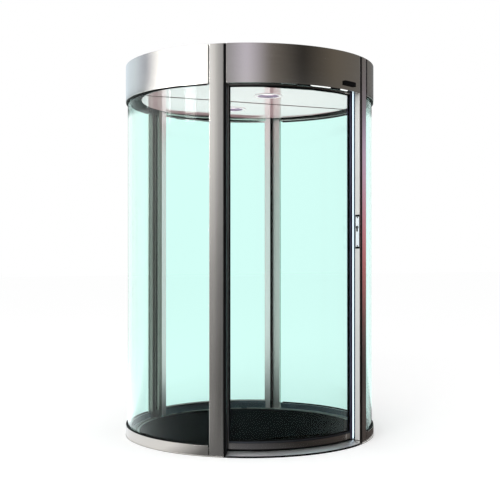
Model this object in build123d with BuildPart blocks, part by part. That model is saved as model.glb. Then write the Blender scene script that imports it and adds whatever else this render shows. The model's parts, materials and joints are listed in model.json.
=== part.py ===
"""Round security portal: a glazed drum with a curved sliding door at the front and at the rear.

Millimetres and degrees. The centre line is Z, the ground is Z = 0, and the front doorway faces -Y.
Angles round the drum are counted from the front doorway's axis, positive towards +X.
"""

import os
from math import cos, degrees, hypot, radians, sin

from build123d import *

os.makedirs("parts", exist_ok=True)

# Overall sizes
outer_radius = 800.0
overall_height = 2350.0
canopy_height = 226.0
sheet = 3.0
seat_gap = 0.3

# Posts
post_width = 85.0
post_depth = 46.0
post_angle = 37.0
post_edge_radius = 3.0
rebate_width = 14.0
rebate_depth = 14.0
rebate_seal_inset = 4.0
face_lip = 8.0
face_strip_width = 24.0
face_strip_depth = 6.0
face_strip_inset = 1.0
nose_recess_width = 56.0
nose_recess_depth = 14.0

# Fixed curved glass and its rubber
glass_thickness = 12.0
glass_setback = 12.0
glass_bite = 12.0
glass_play = 1.0
setting_block = 2.0
inner_gasket = 3.0
gasket_proud = 2.0
gasket_height = 12.0

# Base rails and thresholds
base_height = 63.0
base_inner_wall = 5.0
pocket_depth = 16.0
wall_joint = 5.0
threshold_edge_height = 12.0
threshold_flat = 4.0
threshold_joint = 1.0

# Floor
floor_height = 26.0
floor_play = 2.0
mat_border = 10.0
mat_thickness = 10.0
mat_play = 0.5
guide_groove_width = 16.0
guide_groove_depth = 14.0

# Canopy
fascia_joint = 2.0
soffit_gap = 4.0
head_web = 12.0
roof_thickness = 3.0
roof_recess = 4.0
roof_play = 0.5
roof_flange = 21.0
ceiling_slot = 18.0
ceiling_rise = 14.0
ceiling_thickness = 6.0
ceiling_seam = 3.0
skirt_inset = 7.0

# Recessed ceiling lights
light_margin = 324.0
light_trim_radius = 85.0
light_can_radius = 74.0
light_mouth_radius = 66.0
light_trim = 3.0
light_can_depth = 60.0
light_recess = 34.0
light_fit = 0.5

# Door leaves
door_clearance = 8.0
door_thickness = 28.0
door_floor_gap = 6.0
door_tuck = 8.0
stile_width = 36.0
lead_stile_width = 50.0
lead_overlap = 30.5
stile_nose_radius = 11.0
stile_edge_radius = 2.0
top_rail_height = 28.0
bottom_rail_height = 50.0
bead_height = 10.0
bead_depth = 4.0
trail_overlap = 42.0
trail_seal_width = 12.0
trail_seal_inset = 4.0
door_glass_thickness = 10.0
door_gasket_sight = 7.0
door_gasket_side = 3.5
door_gasket_bed = 9.0
door_glass_bite = 5.0
closing_gap = 5.5

# Running gear in the canopy and guides in the floor
track_thickness = 6.0
track_drop = 56.0
track_ledge_width = 14.0
track_ledge_thickness = 8.0
track_ledge_rise = 80.0
wheel_diameter = 36.0
wheel_width = 9.0
wheel_clearance = 6.0
wheel_edge = 1.5
axle_diameter = 12.0
hanger_width = 70.0
hanger_thickness = 6.0
hanger_corner = 18.0
hanger_foot = 18.0
hanger_angle = 20.0
guide_length = 40.0
guide_thickness = 8.0
guide_floor_gap = 3.0

# Strike jambs that the leaves close against
strike_width = 35.0
strike_inner_reach = 6.0
strike_channel_depth = 12.0
strike_wall = 8.0

# Key switch plates in the jambs
lock_plate_height = 188.0
lock_plate_width = 22.0
lock_plate_thickness = 2.5
lock_pocket_depth = 2.0
lock_pocket_gap = 1.5
lock_plate_corner = 3.0
lock_plate_middle = 1288.0
lock_key_rise = 27.0
key_barrel_radius = 8.5
key_leg_width = 10.0
key_leg_drop = 25.0
key_proud = 4.0
key_fit = 0.4
key_slot_width = 2.0
key_slot_height = 9.0
key_slot_depth = 3.0

# Presence sensors on the fascias
sensor_angle = 24.4
sensor_width = 108.0
sensor_low = 30.0
sensor_height = 19.0
sensor_proud = 13.0
sensor_lip = 6.0
sensor_bevel = 5.0
window_angle = 0.5
window_width = 95.0
window_depth = 26.0
window_drop = 4.0

# Places that follow from the sizes above
post_inner = outer_radius - post_depth
post_half_angle = degrees(post_width / 2 / outer_radius)
rebate_angle = degrees(rebate_width / outer_radius)
jamb_angle = post_angle - post_half_angle - rebate_angle
wall_angle = post_angle + post_half_angle
glass_outer = outer_radius - glass_setback
glass_inner = glass_outer - glass_thickness
pocket_inner = glass_inner - inner_gasket
base_inner = pocket_inner - base_inner_wall
rebate_inner = outer_radius - rebate_depth
jamb_inner = post_inner + nose_recess_depth
plate_radius = (jamb_inner + outer_radius) / 2
lip_inner = outer_radius - sheet
soffit = overall_height - canopy_height
ceiling = soffit + ceiling_rise
roof_top = overall_height - roof_recess
roof_under = roof_top - roof_thickness
floor_radius = post_inner - floor_play
door_outer = post_inner - door_clearance
door_inner = door_outer - door_thickness
door_middle = (door_outer + door_inner) / 2
lead_angle = jamb_angle + degrees(lead_overlap / door_outer)
groove_inner = door_middle - guide_groove_width / 2
groove_outer = door_middle + guide_groove_width / 2
mat_radius = groove_inner - mat_border
ceiling_radius = door_inner - ceiling_slot
light_reach = ceiling_radius - light_margin - light_trim_radius
door_bottom = floor_height + door_floor_gap
door_top = ceiling + door_tuck
front, right, rear, left = 0.0, 90.0, 180.0, -90.0


def arc(length, radius):
    """The angle that a length takes up round a circle."""
    return degrees(length / radius)


def radial_plane(angle, origin=(0, 0, 0)):
    """The upright plane at an angle from the front: its x runs outwards and its y runs up."""
    turn = radians(angle)
    return Plane(origin=origin, x_dir=(sin(turn), -cos(turn), 0), z_dir=(-cos(turn), -sin(turn), 0))


def tangent_plane(angle, radius):
    """The upright plane across a radius: its x runs round the drum, its y runs up."""
    turn = radians(angle)
    middle = (radius * sin(turn), -radius * cos(turn), 0)
    return Plane(origin=middle, x_dir=(cos(turn), sin(turn), 0), z_dir=(sin(turn), -cos(turn), 0))


def bar(inner, outer, low, high):
    """The outline of a plain rectangular section."""
    return [(inner, low), (outer, low), (outer, high), (inner, high)]


def sweep_round(start, end, outline, mode=Mode.ADD):
    """Runs an upright section round the centre line, from one angle to another, in the open part."""
    with BuildSketch(radial_plane(start)) as section:
        with BuildLine():
            Polyline(*outline, close=True)
        make_face()
    revolve(section.sketch, axis=Axis.Z, revolution_arc=end - start, mode=mode)


def upright_edges(part, least, most):
    """The part's upright edges whose distance from the centre line is between two radii."""
    upright = part.edges().filter_by(Axis.Z)
    return upright.filter_by(lambda edge: least < hypot(edge.center().X, edge.center().Y) < most)


def edges_near(part, angle, reach):
    """The part's upright edges within an angle of a place round the drum."""
    upright = part.edges().filter_by(Axis.Z)
    place = Vector(sin(radians(angle)), -cos(radians(angle)), 0)
    return upright.filter_by(lambda edge: Vector(edge.center().X, edge.center().Y, 0).get_angle(place) < reach)


def save(builder, label):
    builder.part.label = label
    export_step(builder.part, f"parts/{label}.step")


# Floor: one turned pan with the mat's recess and the leaves' guide groove, and the mat in it
with BuildPart() as floor_pan:
    mat_bed = floor_height - mat_thickness
    groove_bed = floor_height - guide_groove_depth
    with BuildSketch(radial_plane(front)):
        with BuildLine():
            Polyline(
                (0, 0),
                (floor_radius, 0),
                (floor_radius, floor_height),
                (groove_outer, floor_height),
                (groove_outer, groove_bed),
                (groove_inner, groove_bed),
                (groove_inner, floor_height),
                (mat_radius, floor_height),
                (mat_radius, mat_bed),
                (0, mat_bed),
                close=True,
            )
        make_face()
    revolve(axis=Axis.Z)
save(floor_pan, "floor_pan")

with BuildPart() as floor_mat:
    with BuildSketch(Plane.XY.offset(floor_height - mat_thickness)):
        Circle(mat_radius - mat_play)
    extrude(amount=mat_thickness)
save(floor_mat, "floor_mat")

# Posts: full-height sections with a groove for the edge of the fixed glass. Those that a leaf closes behind
# have a strip let into the outer face and a recess behind the jamb, the others a rebate beside the doorway
post_places = {
    "front_right_post": (front, 1),
    "rear_right_post": (rear, -1),
    "rear_left_post": (rear, 1),
    "front_left_post": (front, -1),
}
closing_posts = ("front_right_post", "rear_left_post")
for label, (doorway, side) in post_places.items():
    middle = doorway + side * post_angle
    jamb = doorway + side * jamb_angle
    rebate_end = jamb + side * rebate_angle
    wall_face = doorway + side * wall_angle
    with BuildPart() as post:
        sweep_round(*sorted([jamb, wall_face]), bar(post_inner, outer_radius, 0, overall_height))
        if label in closing_posts:
            strip_start = jamb + side * arc(face_lip, outer_radius)
            strip_end = strip_start + side * arc(face_strip_width, outer_radius)
            recess_end = jamb + side * arc(nose_recess_width, outer_radius)
            sweep_round(
                *sorted([strip_start, strip_end]),
                bar(outer_radius - face_strip_depth, outer_radius + post_depth, 0, overall_height),
                mode=Mode.SUBTRACT,
            )
            sweep_round(
                *sorted([jamb - side * rebate_angle, recess_end]),
                bar(post_inner - post_depth, jamb_inner, floor_height, door_top),
                mode=Mode.SUBTRACT,
            )
        else:
            sweep_round(
                *sorted([jamb - side * rebate_angle, rebate_end]),
                bar(rebate_inner, outer_radius + post_depth, 0, overall_height),
                mode=Mode.SUBTRACT,
            )
        fillet(upright_edges(post.part, outer_radius - post_edge_radius, outer_radius + sheet), post_edge_radius)
        groove_bed = wall_face - side * arc(glass_bite + glass_play, outer_radius)
        sweep_round(
            *sorted([wall_face + side * rebate_angle, groove_bed]),
            bar(
                glass_inner - glass_play,
                glass_outer + glass_play,
                base_height - pocket_depth,
                soffit + pocket_depth + glass_play,
            ),
            mode=Mode.SUBTRACT,
        )
        if label in closing_posts:
            with BuildSketch(radial_plane(jamb)):
                with Locations((plate_radius, lock_plate_middle)):
                    Rectangle(lock_plate_width + 2 * lock_pocket_gap, lock_plate_height + 2 * lock_pocket_gap)
            extrude(amount=-lock_pocket_depth, mode=Mode.SUBTRACT)
    save(post, label)

# Black strips in the posts' faces and rebates
with BuildPart() as jamb_seals:
    for label, (doorway, side) in post_places.items():
        jamb = doorway + side * jamb_angle
        if label in closing_posts:
            strip_start = jamb + side * arc(face_lip + seat_gap, outer_radius)
            strip_end = jamb + side * arc(face_lip + face_strip_width - seat_gap, outer_radius)
            strip_bed = outer_radius - face_strip_depth + seat_gap
            strip_face = outer_radius - face_strip_inset
        else:
            strip_start = jamb
            strip_end = jamb + side * (rebate_angle - arc(seat_gap, outer_radius))
            strip_bed = rebate_inner + seat_gap
            strip_face = outer_radius - rebate_seal_inset
        sweep_round(*sorted([strip_start, strip_end]), bar(strip_bed, strip_face, 0, overall_height))
save(jamb_seals, "jamb_seals")

# Fixed sides: base rail, curved glass and the fascia above, between the posts of each side
half_wall = right - wall_angle
rail_half = half_wall - arc(wall_joint, outer_radius)
pane_half = half_wall + arc(glass_bite, glass_outer)
pocket_bed = base_height - pocket_depth
pocket_head = soffit + pocket_depth
head_top = pocket_head + head_web
for side, middle in (("right", right), ("left", left)):
    rail_ends = (middle - rail_half, middle + rail_half)
    with BuildPart() as base_rail:
        sweep_round(
            *rail_ends,
            [
                (floor_radius + seat_gap, 0),
                (outer_radius, 0),
                (outer_radius, base_height),
                (lip_inner, base_height),
                (lip_inner, pocket_bed),
                (pocket_inner, pocket_bed),
                (pocket_inner, base_height),
                (base_inner, base_height),
                (base_inner, floor_height),
                (floor_radius + seat_gap, floor_height),
            ],
        )
    save(base_rail, f"{side}_base_rail")

    with BuildPart() as pane:
        sweep_round(
            middle - pane_half,
            middle + pane_half,
            bar(glass_inner, glass_outer, pocket_bed + setting_block, pocket_head - setting_block),
        )
    save(pane, f"{side}_glass")

    with BuildPart() as wall_fascia:
        sweep_round(
            *rail_ends,
            [
                (base_inner, soffit),
                (pocket_inner, soffit),
                (pocket_inner, pocket_head),
                (lip_inner, pocket_head),
                (lip_inner, soffit),
                (outer_radius, soffit),
                (outer_radius, overall_height),
                (lip_inner, overall_height),
                (lip_inner, roof_under),
                (lip_inner - roof_flange, roof_under),
                (lip_inner - roof_flange, roof_under - sheet),
                (lip_inner, roof_under - sheet),
                (lip_inner, head_top),
                (base_inner, head_top),
            ],
        )
    save(wall_fascia, f"{side}_fascia")

# Rubber on both faces of the fixed glass, at its foot and at its head
with BuildPart() as glass_gaskets:
    low_strip = (base_height + gasket_proud - gasket_height, base_height + gasket_proud)
    high_strip = (soffit - gasket_proud, soffit - gasket_proud + gasket_height)
    for middle in (right, left):
        for low, high in (low_strip, high_strip):
            outside = bar(glass_outer + seat_gap, lip_inner - seat_gap, low, high)
            inside = bar(pocket_inner + seat_gap, glass_inner - seat_gap, low, high)
            sweep_round(middle - rail_half, middle + rail_half, outside)
            sweep_round(middle - rail_half, middle + rail_half, inside)
save(glass_gaskets, "fixed_glass_gaskets")

# Doorways: threshold, fascia, presence sensors, strike jamb and key switch plate, front and rear alike
for end, middle in (("front", front), ("rear", rear)):
    threshold_half = jamb_angle - arc(threshold_joint, outer_radius)
    with BuildPart() as threshold:
        sweep_round(
            middle - threshold_half,
            middle + threshold_half,
            [
                (floor_radius + seat_gap, 0),
                (outer_radius, 0),
                (outer_radius, threshold_edge_height),
                (floor_radius + threshold_flat, floor_height),
                (floor_radius + seat_gap, floor_height),
            ],
        )
    save(threshold, f"{end}_threshold")

    fascia_half = jamb_angle - arc(fascia_joint, outer_radius)
    soffit_inner = post_inner + soffit_gap
    with BuildPart() as door_fascia:
        sweep_round(
            middle - fascia_half,
            middle + fascia_half,
            [
                (soffit_inner, soffit),
                (outer_radius, soffit),
                (outer_radius, overall_height),
                (lip_inner, overall_height),
                (lip_inner, roof_under),
                (lip_inner - roof_flange, roof_under),
                (lip_inner - roof_flange, roof_under - sheet),
                (lip_inner, roof_under - sheet),
                (lip_inner, soffit + sheet),
                (soffit_inner, soffit + sheet),
            ],
        )
    save(door_fascia, f"{end}_fascia")

    hood_half = arc(sensor_width / 2, outer_radius)
    hood_middle = middle + sensor_angle
    hood_foot = soffit + sensor_low
    window_half = arc(window_width / 2, outer_radius)
    window_middle = middle + window_angle
    window_inner = (soffit_inner + outer_radius - window_depth) / 2
    with BuildPart() as sensors:
        sweep_round(
            hood_middle - hood_half,
            hood_middle + hood_half,
            [
                (outer_radius + seat_gap, hood_foot),
                (outer_radius + sensor_proud, hood_foot),
                (outer_radius + sensor_proud, hood_foot + sensor_lip),
                (outer_radius + seat_gap, hood_foot + sensor_height),
            ],
        )
        hood_front = upright_edges(sensors.part, outer_radius + sensor_lip, outer_radius + post_depth)
        chamfer(hood_front, sensor_bevel)
        sweep_round(
            window_middle - window_half,
            window_middle + window_half,
            bar(window_inner, window_inner + window_depth, soffit - window_drop, soffit),
        )
    save(sensors, f"{end}_sensors")

    strike_start = middle + lead_angle + arc(closing_gap, door_inner)
    strike_end = strike_start + arc(strike_width, post_inner)
    strike_inner = door_inner - strike_inner_reach
    channel_end = strike_start + arc(strike_channel_depth, post_inner)
    with BuildPart() as strike:
        sweep_round(
            strike_start,
            strike_end,
            bar(strike_inner, post_inner - seat_gap, floor_height, door_top),
        )
        sweep_round(
            strike_start - rebate_angle,
            channel_end,
            bar(strike_inner + strike_wall, post_inner - strike_wall, floor_height, door_top),
            mode=Mode.SUBTRACT,
        )
    save(strike, f"{end}_strike_jamb")

    plate_bed = radial_plane(middle + jamb_angle).offset(-lock_pocket_depth)
    key_height = lock_plate_middle + lock_key_rise
    leg_height = key_height - key_leg_drop / 2
    with BuildPart() as lock_plate:
        with BuildSketch(plate_bed):
            with Locations((plate_radius, lock_plate_middle)):
                RectangleRounded(lock_plate_width, lock_plate_height, lock_plate_corner)
            with Locations((plate_radius, key_height)):
                Circle(key_barrel_radius + key_fit, mode=Mode.SUBTRACT)
            with Locations((plate_radius, leg_height)):
                Rectangle(key_leg_width + 2 * key_fit, key_leg_drop + 2 * key_fit, mode=Mode.SUBTRACT)
        extrude(amount=lock_plate_thickness)
        with BuildSketch(plate_bed):
            with Locations((plate_radius, key_height)):
                Circle(key_barrel_radius)
            with Locations((plate_radius, leg_height)):
                Rectangle(key_leg_width, key_leg_drop)
        extrude(amount=lock_plate_thickness + key_proud)
        with BuildSketch(plate_bed.offset(lock_plate_thickness + key_proud)):
            with Locations((plate_radius, key_height)):
                Rectangle(key_slot_width, key_slot_height)
        extrude(amount=-key_slot_depth, mode=Mode.SUBTRACT)
    save(lock_plate, f"{end}_lock_plate")

# Door leaves: framed curved glass, hung from two wheels and guided in the floor groove
leaf_glass_inner = door_middle - door_glass_thickness / 2
leaf_glass_outer = door_middle + door_glass_thickness / 2
gasket_inner = leaf_glass_inner - door_gasket_side
gasket_outer = leaf_glass_outer + door_gasket_side
frame_groove = door_gasket_bed + seat_gap
sight_bottom = door_bottom + bottom_rail_height
sight_top = door_top - top_rail_height
stile_arc = arc(stile_width, door_outer)
lead_arc = arc(lead_stile_width, door_outer)
ledge_inner = post_inner - seat_gap - track_thickness - track_ledge_width
ledge_top = soffit + track_ledge_rise
wheel_outer = post_inner - seat_gap - track_thickness - wheel_clearance
wheel_height = ledge_top + seat_gap + wheel_diameter / 2
hanger_face = ledge_inner - wheel_clearance - hanger_thickness
groove_section = bar(
    gasket_inner - seat_gap,
    gasket_outer + seat_gap,
    sight_bottom - frame_groove,
    sight_top + frame_groove,
)

for end, middle in (("front", front), ("rear", rear)):
    lead_edge = middle + lead_angle
    lead_inner = lead_edge - lead_arc
    seal_edge = middle - jamb_angle - arc(trail_overlap, door_outer)
    trail_edge = seal_edge + arc(trail_seal_width, door_outer)
    trail_inner = trail_edge + stile_arc
    groove_arc = arc(frame_groove, door_middle)
    hanger_places = (middle - hanger_angle, middle + hanger_angle)

    with BuildPart() as lead_stile:
        sweep_round(lead_inner, lead_edge, bar(door_inner, door_outer, door_bottom, door_top))
        fillet(edges_near(lead_stile.part, lead_edge, stile_arc / 2), stile_nose_radius)
        sweep_round(lead_inner - stile_arc, lead_inner + groove_arc, groove_section, mode=Mode.SUBTRACT)
    save(lead_stile, f"{end}_door_lead_stile")

    with BuildPart() as trail_stile:
        sweep_round(trail_edge, trail_inner, bar(door_inner, door_outer, door_bottom, door_top))
        fillet(edges_near(trail_stile.part, trail_edge, stile_arc / 2), stile_edge_radius)
        sweep_round(trail_inner - groove_arc, trail_inner + stile_arc, groove_section, mode=Mode.SUBTRACT)
    save(trail_stile, f"{end}_door_trail_stile")

    with BuildPart() as bottom_rail:
        sweep_round(
            trail_inner,
            lead_inner,
            [
                (door_inner, door_bottom),
                (door_outer, door_bottom),
                (door_outer, sight_bottom - bead_height),
                (door_outer - bead_depth, sight_bottom),
                (gasket_outer + seat_gap, sight_bottom),
                (gasket_outer + seat_gap, sight_bottom - frame_groove),
                (gasket_inner - seat_gap, sight_bottom - frame_groove),
                (gasket_inner - seat_gap, sight_bottom),
                (door_inner + bead_depth, sight_bottom),
                (door_inner, sight_bottom - bead_height),
            ],
        )
        guide_foot = floor_height - guide_groove_depth + guide_floor_gap
        guide_arc = arc(guide_length / 2, door_middle)
        guide_inner = door_middle - guide_thickness / 2
        for place in hanger_places:
            sweep_round(
                place - guide_arc,
                place + guide_arc,
                bar(guide_inner, guide_inner + guide_thickness, guide_foot, door_bottom),
            )
    save(bottom_rail, f"{end}_door_bottom_rail")

    with BuildPart() as top_rail:
        sweep_round(
            trail_inner,
            lead_inner,
            [
                (door_inner, door_top),
                (door_inner, sight_top + bead_height),
                (door_inner + bead_depth, sight_top),
                (gasket_inner - seat_gap, sight_top),
                (gasket_inner - seat_gap, sight_top + frame_groove),
                (gasket_outer + seat_gap, sight_top + frame_groove),
                (gasket_outer + seat_gap, sight_top),
                (door_outer - bead_depth, sight_top),
                (door_outer, sight_top + bead_height),
                (door_outer, door_top),
            ],
        )
    save(top_rail, f"{end}_door_top_rail")

    bite_arc = arc(door_glass_bite, door_middle)
    with BuildPart() as leaf_glass:
        sweep_round(
            trail_inner - bite_arc,
            lead_inner + bite_arc,
            bar(leaf_glass_inner, leaf_glass_outer, sight_bottom - door_glass_bite, sight_top + door_glass_bite),
        )
    save(leaf_glass, f"{end}_door_glass")

    bed_arc = arc(door_gasket_bed, door_middle)
    sight_arc = arc(door_gasket_sight, door_middle)
    slot_arc = arc(door_glass_bite + seat_gap, door_middle)
    with BuildPart() as leaf_gaskets:
        sweep_round(
            trail_inner - bed_arc,
            lead_inner + bed_arc,
            bar(gasket_inner, gasket_outer, sight_bottom - door_gasket_bed, sight_top + door_gasket_bed),
        )
        sweep_round(
            trail_inner + sight_arc,
            lead_inner - sight_arc,
            bar(door_inner, door_outer, sight_bottom + door_gasket_sight, sight_top - door_gasket_sight),
            mode=Mode.SUBTRACT,
        )
        sweep_round(
            trail_inner - slot_arc,
            lead_inner + slot_arc,
            bar(
                leaf_glass_inner - seat_gap,
                leaf_glass_outer + seat_gap,
                sight_bottom - door_glass_bite - seat_gap,
                sight_top + door_glass_bite + seat_gap,
            ),
            mode=Mode.SUBTRACT,
        )
        sweep_round(
            seal_edge,
            trail_edge,
            bar(door_inner + trail_seal_inset, door_outer - trail_seal_inset, door_bottom, door_top),
        )
    save(leaf_gaskets, f"{end}_door_gaskets")

    with BuildPart() as hangers:
        for place in hanger_places:
            plate_top = wheel_height + wheel_diameter / 2
            with BuildSketch(tangent_plane(place, hanger_face)) as plate_face:
                with Locations((0, (door_top + plate_top) / 2)):
                    Rectangle(hanger_width, plate_top - door_top)
                chamfer(plate_face.vertices().group_by(Axis.Z)[-1], hanger_corner)
            extrude(amount=hanger_thickness)
            with BuildSketch(tangent_plane(place, hanger_face)):
                with Locations((0, door_top + hanger_thickness / 2)):
                    Rectangle(hanger_width, hanger_thickness)
            extrude(amount=hanger_foot)
            with BuildSketch(tangent_plane(place, hanger_face)):
                with Locations((0, wheel_height)):
                    Circle(axle_diameter / 2)
            extrude(amount=wheel_outer - hanger_face)
            with BuildSketch(tangent_plane(place, wheel_outer - wheel_width)):
                with Locations((0, wheel_height)):
                    Circle(wheel_diameter / 2)
            extrude(amount=wheel_width)
        rims = hangers.edges().filter_by(GeomType.CIRCLE)
        chamfer(rims.filter_by(lambda edge: edge.radius > axle_diameter), wheel_edge)
    save(hangers, f"{end}_door_hangers")

# Canopy: the running track inside the posts, the roof, the ceiling and what hangs it
track_outer = post_inner - seat_gap
track_inner = track_outer - track_thickness
with BuildPart() as track_ring:
    with BuildSketch(radial_plane(front)):
        with BuildLine():
            Polyline(
                (track_inner, soffit + track_drop),
                (track_outer, soffit + track_drop),
                (track_outer, roof_under),
                (track_inner, roof_under),
                (track_inner, ledge_top),
                (ledge_inner, ledge_top),
                (ledge_inner, ledge_top - track_ledge_thickness),
                (track_inner, ledge_top - track_ledge_thickness),
                close=True,
            )
        make_face()
    revolve(axis=Axis.Z)
save(track_ring, "track_ring")

with BuildPart() as roof_plate:
    play_arc = arc(roof_play, outer_radius)
    with BuildSketch(Plane.XY.offset(roof_under)):
        Circle(lip_inner - roof_play)
    extrude(amount=roof_thickness)
    for doorway, side in post_places.values():
        notch = (doorway + side * (jamb_angle - play_arc), doorway + side * (wall_angle + play_arc))
        sweep_round(
            *sorted(notch),
            bar(post_inner - roof_play, outer_radius, roof_under - sheet, roof_top + sheet),
            mode=Mode.SUBTRACT,
        )
save(roof_plate, "roof_plate")

with BuildPart() as ceiling_skirt:
    with BuildSketch(Plane.XY.offset(ceiling + ceiling_thickness)):
        Circle(ceiling_radius - skirt_inset)
        Circle(ceiling_radius - skirt_inset - sheet, mode=Mode.SUBTRACT)
    extrude(amount=roof_under - ceiling - ceiling_thickness)
save(ceiling_skirt, "ceiling_skirt")

for end, middle in (("front", front), ("rear", rear)):
    with BuildPart() as ceiling_panel:
        with BuildSketch(Plane.XY.offset(ceiling).rotated((0, 0, middle))):
            Circle(ceiling_radius)
            with Locations((0, -ceiling_seam / 2)):
                Rectangle(
                    2 * ceiling_radius,
                    2 * ceiling_radius,
                    align=(Align.CENTER, Align.MIN),
                    mode=Mode.SUBTRACT,
                )
            with Locations((0, -light_reach)):
                Circle(light_can_radius + light_fit, mode=Mode.SUBTRACT)
        extrude(amount=ceiling_thickness)
    save(ceiling_panel, f"{end}_ceiling_panel")

    light_middle = tangent_plane(middle, light_reach).origin + Vector(0, 0, ceiling)
    with BuildPart() as downlight:
        with BuildSketch(radial_plane(middle, light_middle)):
            with BuildLine():
                Polyline(
                    (0, light_recess),
                    (light_mouth_radius, light_recess),
                    (light_mouth_radius, -light_trim),
                    (light_trim_radius, -light_trim),
                    (light_trim_radius, -seat_gap),
                    (light_can_radius, -seat_gap),
                    (light_can_radius, light_can_depth),
                    (0, light_can_depth),
                    close=True,
                )
            make_face()
        revolve(axis=Axis(light_middle, (0, 0, 1)))
    save(downlight, f"{end}_downlight")
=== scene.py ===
import json
from math import atan2, cos, degrees, pi, radians, sin, tau

import bmesh
import bpy
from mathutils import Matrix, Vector


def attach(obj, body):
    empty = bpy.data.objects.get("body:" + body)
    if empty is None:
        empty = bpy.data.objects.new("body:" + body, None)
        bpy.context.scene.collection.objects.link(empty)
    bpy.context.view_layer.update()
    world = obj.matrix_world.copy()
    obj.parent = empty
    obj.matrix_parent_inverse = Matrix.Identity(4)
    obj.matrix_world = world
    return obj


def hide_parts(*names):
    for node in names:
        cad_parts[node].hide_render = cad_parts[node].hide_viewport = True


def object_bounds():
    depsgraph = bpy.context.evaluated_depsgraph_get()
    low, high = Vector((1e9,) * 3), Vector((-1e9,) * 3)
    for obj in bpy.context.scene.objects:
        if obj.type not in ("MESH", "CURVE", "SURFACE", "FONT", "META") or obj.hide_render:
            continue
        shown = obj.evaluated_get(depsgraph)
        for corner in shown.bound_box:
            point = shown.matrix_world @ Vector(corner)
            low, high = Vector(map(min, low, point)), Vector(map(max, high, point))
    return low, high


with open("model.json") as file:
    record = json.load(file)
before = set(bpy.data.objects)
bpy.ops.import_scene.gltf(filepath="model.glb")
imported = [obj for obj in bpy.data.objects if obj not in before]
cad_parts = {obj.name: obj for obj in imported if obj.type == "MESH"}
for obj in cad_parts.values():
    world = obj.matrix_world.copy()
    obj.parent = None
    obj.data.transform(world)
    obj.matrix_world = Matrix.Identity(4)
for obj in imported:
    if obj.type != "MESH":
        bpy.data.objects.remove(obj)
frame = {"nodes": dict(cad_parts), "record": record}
cadLow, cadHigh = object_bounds()
mm = 0.001


def hexColor(code):  # sRGB hex to the linear colour that the nodes take
    parts = [int(code[at:at + 2], 16) / 255 for at in (1, 3, 5)]
    return (*[p / 12.92 if p <= 0.04045 else ((p + 0.055) / 1.055) ** 2.4 for p in parts], 1.0)


def addNode(tree, kind, inputs=None, **settings):  # an input is a value, or (node, output) for a link
    node = tree.nodes.new(kind)
    for name, value in settings.items():
        setattr(node, name, value)
    for name, value in (inputs or {}).items():
        if isinstance(value, tuple) and isinstance(value[0], bpy.types.Node):
            tree.links.new(value[0].outputs[value[1]], node.inputs[name])
        else:
            node.inputs[name].default_value = value
    return node


def setStops(ramp, stops):  # colour ramp from {place: hex}
    elements = ramp.color_ramp.elements
    while len(elements) > 1:
        elements.remove(elements[-1])
    for count, (place, code) in enumerate(sorted(stops.items())):
        element = elements[0] if count == 0 else elements.new(place)
        element.position, element.color = place, hexColor(code)


def newFinish(name, values):  # a surface shader with the values that are the same all over
    finish = bpy.data.materials.new(name)
    finish.use_nodes = True
    shader = finish.node_tree.nodes["Principled BSDF"]
    for socket, value in values.items():
        shader.inputs[socket].default_value = value
    return finish, finish.node_tree, shader


def grainFinish(name, look, values):  # two tones, sheen and relief from a stretched grain and a slow cloud
    finish, tree, shader = newFinish(name, values)
    place = addNode(tree, "ShaderNodeTexCoord")
    stretch = addNode(tree, "ShaderNodeMapping", {
        "Vector": (place, "Object"), "Scale": [1 / (size * mm) for size in look["grain"]]})
    grain = addNode(tree, "ShaderNodeTexNoise", {
        "Vector": (stretch, "Vector"), "Scale": 1.0, "Detail": 4.0, "Roughness": 0.6})
    cloud = addNode(tree, "ShaderNodeTexNoise", {
        "Vector": (place, "Object"), "Scale": 1 / (look["cloud"] * mm), "Detail": 2.0})
    blend = addNode(tree, "ShaderNodeMix", {"Factor": look["cloudShare"], 2: (grain, "Fac"), 3: (cloud, "Fac")})
    tone = addNode(tree, "ShaderNodeValToRGB", {"Fac": (blend, 0)})
    setStops(tone, {0.3: look["tones"][0], 0.7: look["tones"][1]})
    sheen = addNode(tree, "ShaderNodeMapRange", {
        "Value": (blend, 0), "From Min": 0.3, "From Max": 0.7,
        "To Min": look["roughness"][0], "To Max": look["roughness"][1]})
    relief = addNode(tree, "ShaderNodeBump", {
        "Height": (grain, "Fac"), "Strength": look["relief"], "Distance": look["depth"] * mm})
    tree.links.new(tone.outputs["Color"], shader.inputs["Base Color"])
    tree.links.new(sheen.outputs["Result"], shader.inputs["Roughness"])
    tree.links.new(relief.outputs["Normal"], shader.inputs["Normal"])
    return finish, tree, shader


def brushedFinish(name, look, values):  # brushed metal: the sheen spreads across the lines
    finish, tree, shader = grainFinish(name, look, values)
    around = addNode(tree, "ShaderNodeTangent", direction_type="RADIAL", axis="Z")
    tree.links.new(around.outputs["Tangent"], shader.inputs["Tangent"])
    return finish


# Stainless steel, belt-ground: fine lines and a soft, long highlight across them.
# Real grit lines are 0.1 mm, drawn 2 to 3 mm apart so that they show.
steelRoundLook = {"grain": (260, 260, 2.4), "cloud": 240, "cloudShare": 0.3, "tones": ("#C6C3BE", "#CFCCC7"),
                  "roughness": (0.13, 0.2), "relief": 0.03, "depth": 0.05}
steelUprightLook = {"grain": (2.6, 2.6, 380), "cloud": 240, "cloudShare": 0.3, "tones": ("#C6C3BE", "#CFCCC7"),
                    "roughness": (0.17, 0.23), "relief": 0.02, "depth": 0.05}
steelRound = brushedFinish("steelBrushedRound", steelRoundLook, {
    "Metallic": 1.0, "Anisotropic": 0.55, "Anisotropic Rotation": 0.0})
steelUpright = brushedFinish("steelBrushedUpright", steelUprightLook, {
    "Metallic": 1.0, "Anisotropic": 0.7, "Anisotropic Rotation": 0.25})

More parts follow.
